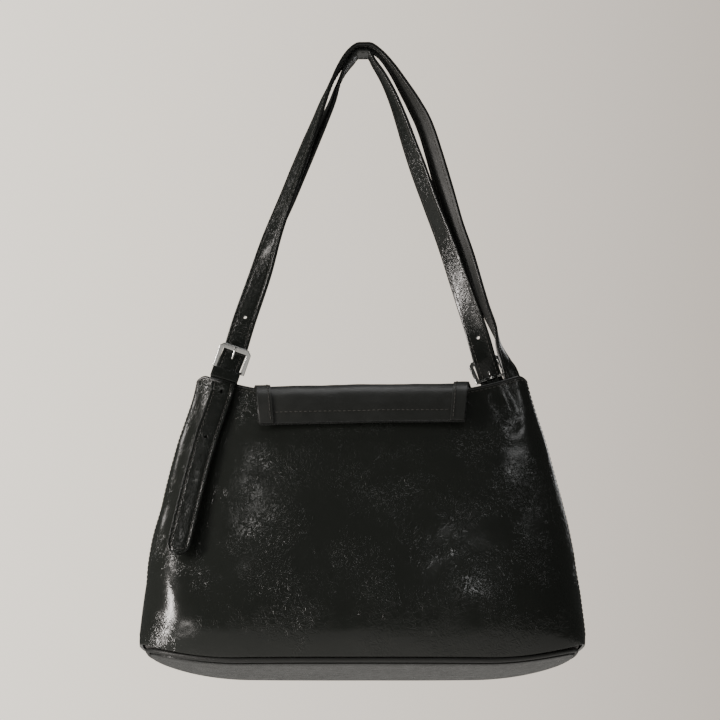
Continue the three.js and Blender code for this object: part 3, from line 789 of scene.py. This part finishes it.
def make_base():
    across, along = 20, 120
    edge = 2 * PIPING_RADIUS + GAP
    length = half_width(WALL_START) - edge
    depth = half_depth(WALL_START) - edge
    rings = []
    for k in range(along + 1):
        f = math.sin(math.pi * (k / along - 0.5)) * 0.9995
        x = length * f
        half = depth * (1 - abs(f) ** SQUARE_BASE) ** (1 / SQUARE_BASE)
        lower, upper = [], []
        for i in range(across + 1):
            t = math.sin(math.pi * (i / across - 0.5))
            rim = 1 - max(abs(t), abs(f)) ** 18
            wave = 0.25 + 0.25 * noise.noise(Vector((x / 40, t * half / 30, 5.5)))
            lift = 1.1 * (1 - rim) + wave * rim * min(1, base_at(x) + 0.6)
            lower.append(Vector((x, half * t, base_at(x) + lift)))
            upper.append(Vector((x, half * t, base_at(x) + BASE_THICK)))
        rings.append(lower + upper[::-1])
    points, faces = loft(rings)
    piece("base_leather", points, faces, "sole", "bag", ["base_panel"])

    middle = plan_ring(PIPING_RADIUS, WALL_START, 240)
    for p in middle:
        p.z = base_at(p.x) + WALL_START - GAP - PIPING_RADIUS
    points, faces = tube(middle, PIPING_RADIUS * 1.05, 14, loop=True)
    piece("bottom_piping_leather", points, faces, "matte", "bag", ["bottom_piping"])


def make_lining():
    around, up = 150, 26
    floor = BASE_THICK + BOARD_THICK + 2 * GAP

    def ring(v, depth, lift):
        made = []
        for i in range(around):
            a = 2 * math.pi * i / around
            place = signed_power(math.cos(a), PLACE_POWER)
            foot = base_at(place * BASE_EDGE) + floor + lift
            z = lerp(foot, rim_at(place) - FACING_DEPTH + 2, v)
            p = 2 / power(z)
            sag = 0.9 * noise.noise(Vector((math.cos(a) * 5, math.sin(a) * 3, z / 34)))
            ease = min(v * 6, (1 - v) * 6, 1)
            d = depth + (0.6 + sag) * ease
            made.append(Vector(((half_width(z) - d) * signed_power(math.cos(a), p),
                                (half_depth(z) - d) * signed_power(math.sin(a), p), z)))
        return made

    def floor_ring(part, lift):
        return [Vector((q.x * part, q.y * part, base_at(q.x * part) + floor + lift))
                for q in ring(0, FACING_IN, lift)]

    levels = share(up)
    thick = 0.8
    rings = [floor_ring(s, 0) for s in (0.05, 0.35, 0.7, 0.9)]
    rings += [ring(v, FACING_IN, 0) for v in levels]
    rings += [ring(v, FACING_IN + thick, thick) for v in reversed(levels)]
    rings += [floor_ring(s, thick) for s in (0.9, 0.7, 0.35, 0.05)]
    points, faces = loft(rings)
    piece("lining_cloth", points, faces, "fabric", "bag", ["lining"])


# ---- Pockets ----

POCKET_LEAN = math.atan(0.217)
ZIP_HALF = 55
ZIP_POCKET_AT = Vector((0, 22.2, 180))
SLIP_POCKET_AT = Vector((0, -22.2, 170))


def make_pockets():
    lean = Matrix.Rotation(POCKET_LEAN, 3, "X")
    for node, look, bevel in (
            ("zip_pocket_panel", "fabric", 0.35), ("zip_tape", "fabric", 0.1),
            ("zip_slider", "steel", 0.35), ("zip_pull", "steel", 0.3),
            ("slip_pocket", "fabric", 0.4)):
        refined(node, look, bevel)
    points, faces = [], []
    for k in range(2 * ZIP_HALF):
        x = k - ZIP_HALF + 0.5
        middle = -13 + (0.55 if k % 2 else -0.55)
        start = len(points)
        for dx in (-0.36, 0.36):
            for y in (-0.35, 0.75):
                for dz in (-1.15, 1.15):
                    points.append(lean @ Vector((x + dx, y, middle + dz))
                                  + ZIP_POCKET_AT)
        faces += [tuple(start + i for i in f) for f in (
            (0, 1, 3, 2), (4, 6, 7, 5), (0, 4, 5, 1), (2, 3, 7, 6), (0, 2, 6, 4), (1, 5, 7, 3))]
    piece("zip_teeth_row", points, faces, "zip", "bag", ["zip_teeth"])

    def frame_line(matrix, origin, y, corners):
        return [matrix @ Vector((x, y, z)) + origin for x, z in corners]

    slot = [(-59, -6), (59, -6), (59, -20), (-59, -20), (-59, -6)]
    edge = [(-63, -2), (-63, -89), (63, -89), (63, -2), (-63, -2)]
    stitches("zip_pocket_stitches", [frame_line(lean, ZIP_POCKET_AT, -0.65, corners)
                                     for corners in (slot, edge)], "bag", size=0.8)
    lean_front = Matrix.Rotation(-POCKET_LEAN, 3, "X")
    hem = [(-57, -3), (57, -3)]
    sides = [(-57, -3), (-57, -75), (57, -75), (57, -3)]
    stitches("slip_pocket_stitches", [frame_line(lean_front, SLIP_POCKET_AT, -0.55, corners)
                                      for corners in (hem, sides)], "bag", size=0.8)


# ---- The flap ----

FLAP_STEPS = 400
FLAP_BAND = 10.5
SEAM_HALF = 84
SEAM_LOW, SEAM_HIGH = 187, 204.6
FLAP_BEND = ("bag", "flap", (0, 0.0285, 0.2065), (0, 0.0205, 0.2165))

flap_line = even([p for p, _ in curve([(0, y, z) for y, z in FLAP_PATH], 0.5)], FLAP_STEPS)
flap_tangents = tangents(flap_line)


def flap_face(from_x=1.0, to_x=-1.0, from_v=0.0, to_v=1.0):
    def face(u, v, depth):
        along = lerp(from_v, to_v, v)
        across = lerp(from_x, to_x, u)
        at = along * FLAP_STEPS
        i = min(int(at), FLAP_STEPS - 1)
        centre = flap_line[i].lerp(flap_line[i + 1], at - i)
        tangent = flap_tangents[i].lerp(flap_tangents[i + 1], at - i).normalized()
        half = lerp(FLAP_HALF_ROOT, FLAP_HALF_TIP, along)
        inward = Vector((0, -tangent.z, tangent.y))
        side = -1 if centre.y > 0 else 1
        bow = side * FLAP_BOW * across ** 2 * min(abs(centre.y) / 30, 1)
        x = across * half
        free = min(max((along - 0.12) / 0.2, 0), 1)
        wave = 0.55 * noise.noise(Vector((x / 34, along * 3.2, 8.8)))
        wave += 0.18 * noise.noise(Vector((x / 9, along * 9, 2.2)))
        crease = 0.5 * math.exp(-((along - 0.47 - 0.02 * math.sin(x / 14)) / 0.035) ** 2)
        drop = 1.5 * min(along / 0.25, 1) * (1 - x / FLAP_HALF_ROOT)
        return (centre + inward * (depth + free * (crease * 0.6 - wave))
                + Vector((x, bow, -drop)))

    return face


def make_flap():
    whole = flap_face()
    points, faces = slab(whole, share(110), share(100), 0, FLAP_THICK)
    piece("flap_leather", points, faces, "smooth", "flap", ["flap_outer"], bevel=0.55,
          blended=FLAP_BEND)
    within = flap_face(0.97, -0.97, 0.06, 0.97)
    points, faces = slab(within, share(60), share(60), FLAP_THICK + 0.1, FLAP_THICK + 1.3)
    piece("flap_lining_leather", points, faces, "matte", "flap", ["flap_lining"], bevel=0.3,
          blended=FLAP_BEND)
    inner = 1 - FLAP_BAND / FLAP_HALF_TIP
    rows = []
    for name, sign in (("right", 1), ("left", -1)):
        band = flap_face(sign * 1.003, sign * inner, 0.1, 1.0)
        points, faces = slab(band, share(8), share(100), -1.35, 0.4)
        piece("flap_band_leather_" + name, points, faces, "smooth", "flap",
              ["flap_band_" + name], bevel=0.5, blended=FLAP_BEND)
        rows.append([band(0.8, v, -1.55) for v in share(80)[1:-2]])
    front = flap_face(inner * 0.985, -inner * 0.985)
    rows.append([front(u, 0.905, -0.08) for u in share(60)])
    rows.append([front(u, 0.08, -0.08) for u in share(60)])
    stitches("flap_stitches", rows, "flap", blended=FLAP_BEND)
    edge_path = [whole(0, v, 0.9) for v in share(90)] + [whole(u, 1, 0.9) for u in share(90)]
    edge_path += [whole(1, v, 0.9) for v in reversed(share(90))]
    spots = even(edge_path, 300)
    points, faces = tube(spots, 0.95, 8, up=Vector((0.02, 0.3, 0.95)))
    piece("flap_edge", points, faces, "edge", "flap", blended=FLAP_BEND)
    low, high = wall_share(SEAM_HALF, 200), wall_share(-SEAM_HALF, 200)
    root = wall_face("back", lambda f: SEAM_LOW, lambda f: SEAM_HIGH, low * math.pi,
                     high * math.pi)
    points, faces = slab(root, share(80), share(12), -0.25 - FLAP_THICK, 0.3)
    piece("flap_seam_leather", points, faces, "glazed", "bag", ["flap_seam_strip"], bevel=0.5)
    inset = share(80)[2:-2]
    stitches("flap_seam_stitches", [
        [root(u, v, -0.3 - FLAP_THICK) for u in inset] for v in (0.16, 0.84)], "bag")
    refined("flap_magnet", "steel", 0.15)
    refined("front_magnet", "steel", 0.15)


# ---- Straps ----

# Half of the strap's section, as shares of the half width, and mm above the middle:
# a painted edge, a raised border, the stitched groove and a slightly padded middle.
OUTER_PROFILE = [(1, 0.45), (0.985, 1.0), (0.945, 1.36), (0.88, 1.5), (0.8, 1.46), (0.73, 1.2),
                 (0.67, 1.04), (0.61, 1.2), (0.53, 1.42), (0.35, 1.52), (0.12, 1.58)]
INNER_PROFILE = [(1, -0.45), (0.985, -1.0), (0.945, -1.3), (0.87, -1.4), (0.5, -1.42),
                 (0.15, -1.42)]
GROOVE = 0.67


def section_profile():
    """Points (share of half width, height) round the section, and each side's look."""
    outer = OUTER_PROFILE + [(-w, n) for w, n in reversed(OUTER_PROFILE)]
    inner = [(-w, n) for w, n in INNER_PROFILE] + INNER_PROFILE[::-1]
    loop = outer + inner
    looks = []
    for i, (w, n) in enumerate(loop):
        w2, n2 = loop[(i + 1) % len(loop)]
        if abs(w) > 0.96 and abs(w2) > 0.94:
            looks.append(1)
        elif n > 0 and n2 > 0:
            looks.append(0)
        else:
            looks.append(2)
    return loop, looks


def strap_sections(line, spacing=1.8, crown=1e9):
    """Sections (centre, normal, across) of a strap along x, y, z and its turn in degrees."""
    turn_at = through([(i, p[3]) for i, p in enumerate(line)])
    spots = curve([p[:3] for p in line], spacing)
    centres = []
    for spot, _ in spots:
        centres.append(Vector((spot.x, spot.y, min(spot.z, crown))))
    made = []
    for centre, along, (_, span) in zip(centres, tangents(centres), spots):
        low = min(int(span), len(line) - 2)
        bounds = sorted((line[low][3], line[low + 1][3]))
        turn = math.radians(min(max(turn_at(span), bounds[0]), bounds[1]))
        outward = along.cross(Vector((0, 1, 0))).normalized()
        side = outward.cross(along).normalized()
        normal = outward * math.cos(turn) + side * math.sin(turn)
        across = side * math.cos(turn) - outward * math.sin(turn)
        made.append((centre, normal, across))
    return made


def strap_mesh(sections, halves, seed):
    """Points, faces and each face's look of a strap with a faint wave in its outer side."""
    loop, looks = section_profile()
    rings = []
    for (centre, normal, across), half in zip(sections, halves):
        ring = []
        for w, n in loop:
            spot = centre + across * w * half + normal * n
            if n > 0.9:
                spot += normal * (0.04 * noise.noise(spot / 5.5 + Vector((seed, 0, 0)))
                                  + 0.16 * noise.noise(spot / 21 + Vector((0, seed, 0))))
            ring.append(spot)
        rings.append(ring)
    points, faces = loft(rings)
    face_looks = [looks[i % len(loop)] for i in range((len(rings) - 1) * len(loop))] + [1, 1]
    return points, faces, face_looks


def turned(side, vector):
    return TURN[side] @ vector


def nearest(sections, z):
    return min(sections, key=lambda s: abs(s[0].z - z))


def make_strap(side):
    shift = BUCKLE_SHIFT[side]
    lap = [(HEEL.x + shift + x, y, z, -90) for x, y, z in LAP_LINE]
    leg = STRAP_LINE[side]
    x_end = leg[-1][0]
    sewn = [(x_end + 2.2, -7.2, 223, -72), (x_end + 3.6, -8.2, 212, -74)]
    crown = max(p[2] for p in leg) - CROWN_CUT
    sections = strap_sections(lap + leg + sewn, crown=crown)
    last = len(sections) - 1
    halves = []
    for k, (centre, _, _) in enumerate(sections):
        narrow = min(max((SEWN_FROM - centre.z) / SEWN_SPAN, 0), 1) if k > last / 2 else 0
        halves.append(STRAP_HALF - SEWN_NARROWING * narrow * narrow * (3 - 2 * narrow))
    world = [tuple(turned(side, v) for v in s) for s in sections]
    points, faces, looks = strap_mesh(world, halves, 11 if side == "front" else 37)
    pivot = Vector(leg[0][:3])
    axis = (Vector(leg[-1][:3]) - pivot).normalized()
    up = (Vector((0, 0, 1)) - axis * axis.z).normalized()
    low, high = (turned(side, pivot + up * reach) * MM for reach in STRAP_BEND)
    blended = ("bag", side + "_strap", low, high)
    inner_look = "matte" if side == "front" else "strap"
    holes = [(*nearest(world[: last // 2], z), stretch) for z, stretch in STRAP_HOLES[side]]
    piece(side + "_strap_leather", points, faces, "strap", "bag", sharp=50,
          looks=["strap", "edge", inner_look], face_looks=looks, blended=blended, holes=holes,
          replaced=[side + "_strap", side + "_strap_lap", side + "_strap_sewn_end"])
    rows = []
    for w in (-GROOVE, GROOVE):
        for height in (1.12, -1.45):
            rows.append([c + a * w * h + n * height
                         for (c, n, a), h in zip(world[4:-4], halves[4:-4])])
    stitches(side + "_strap_stitches", rows, "bag", blended=blended)


def make_tail(side):
    shift = BUCKLE_SHIFT[side]
    line = []
    for (x, z), clear in zip(TAIL_LINE, TAIL_CLEARANCE):
        y = -stand_out(x + shift + 6, z) - clear - STRAP_THICK / 2
        line.append((x + shift, y, z, TAIL_TURN))
    line[0] = (HEEL.x + shift - 3.6, -19.2, TAIL_LINE[0][1], -90)
    line.reverse()
    sections = strap_sections(line, 0.9)
    tip = sections[0][0]
    halves = []
    for centre, _, _ in sections:
        reach = min((centre - tip).length + 0.12, STRAP_HALF)
        halves.append(math.sqrt(STRAP_HALF ** 2 - (STRAP_HALF - reach) ** 2))
    world = [tuple(turned(side, v) for v in s) for s in sections]
    points, faces, looks = strap_mesh(world, halves, 5 if side == "front" else 23)
    holes = [(*nearest(world, z), 1) for z in TAIL_HOLES]
    piece(side + "_tail_leather", points, faces, "strap", side + "_tail",
          [side + "_strap_tail"], looks=["strap", "edge", "matte"], face_looks=looks,
          sharp=50, holes=holes)
    reach_in = STRAP_HALF * (1 - GROOVE)
    left, right = [], []
    for c, n, a in world:
        along = (c - world[0][0]).length
        if along < reach_in:
            continue
        inner = STRAP_HALF - reach_in
        depth = min(along - reach_in, inner)
        w = math.sqrt(max(inner ** 2 - (inner - depth) ** 2, 0))
        left.append(c + a * w + n * 1.3)
        right.append(c - a * w + n * 1.3)
    rows = [left[::-1] + right[1:]]
    for line in (left, right):
        rows.append([p - n * 2.75 for p, (_, n, _) in zip(line, world[-len(line):])])
    stitches(side + "_tail_stitches", rows, side + "_tail")


def make_prong(side):
    """A bent, tapering prong with its eye round the heel bar."""
    shift = Vector((BUCKLE_SHIFT[side], 0, 0))
    turn = Matrix.Rotation(BUCKLE_LEAN, 3, "Y") @ Matrix.Rotation(BUCKLE_TILT, 3, "X")
    path = [(0, 1, 2.1), (0, 0.6, 5), (0, -0.9, 8.2), (0, -2.2, 11.5), (0, -2.35, 16.7),
            (0, -2.2, 18.2)]
    line = [turn @ p + HEEL + shift for p, _ in curve(path, 0.5)]
    tip = line[-1]
    points, faces = tube(line, lambda p: 0.98 - 0.45 * math.exp(-(p - tip).length / 1.1), 14,
                         flatten=0.85, up=Vector((1, 0, 0)))
    eye = [turn @ Vector((0, 2.15 * math.cos(a), 2.15 * math.sin(a))) + HEEL + shift
           for a in (2 * math.pi * i / 28 for i in range(28))]
    more, more_faces = tube(eye, 0.55, 10, loop=True, up=turn @ Vector((1, 0, 0)))
    start = len(points)
    points = [turned(side, p) for p in points + more]
    faces += [tuple(start + i for i in f) for f in more_faces]
    piece(side + "_prong_polished", points, faces, "steel", side + "_prong",
          [side + "_buckle_prong"])


def make_strap_set(side):
    make_strap(side)
    make_tail(side)
    make_prong(side)
    refined(side + "_buckle_frame", "steel", 0.6)
    refined(side + "_keeper", "strap", 0.45)
    refined(side + "_tab", "strap", 0.35)


# ---- Everything ----

LOOKS = make_materials()
set_up_camera()
set_up_floor()
# Backdrop colours: the paler left and darker right are painted light from the left; the last is
# the dim light for all else.
set_up_world((1.65, 1.52, 1.33), (0.78, 0.7, 0.62), (0.055, 0.055, 0.052))
for light in LIGHTS:
    area_light(*light)

make_panels()
make_base()
make_lining()
make_pockets()
make_flap()
for side in ("front", "back"):
    make_strap_set(side)

board = frame["nodes"]["base_board"].data
board.materials.clear()
board.materials.append(LOOKS["board"])
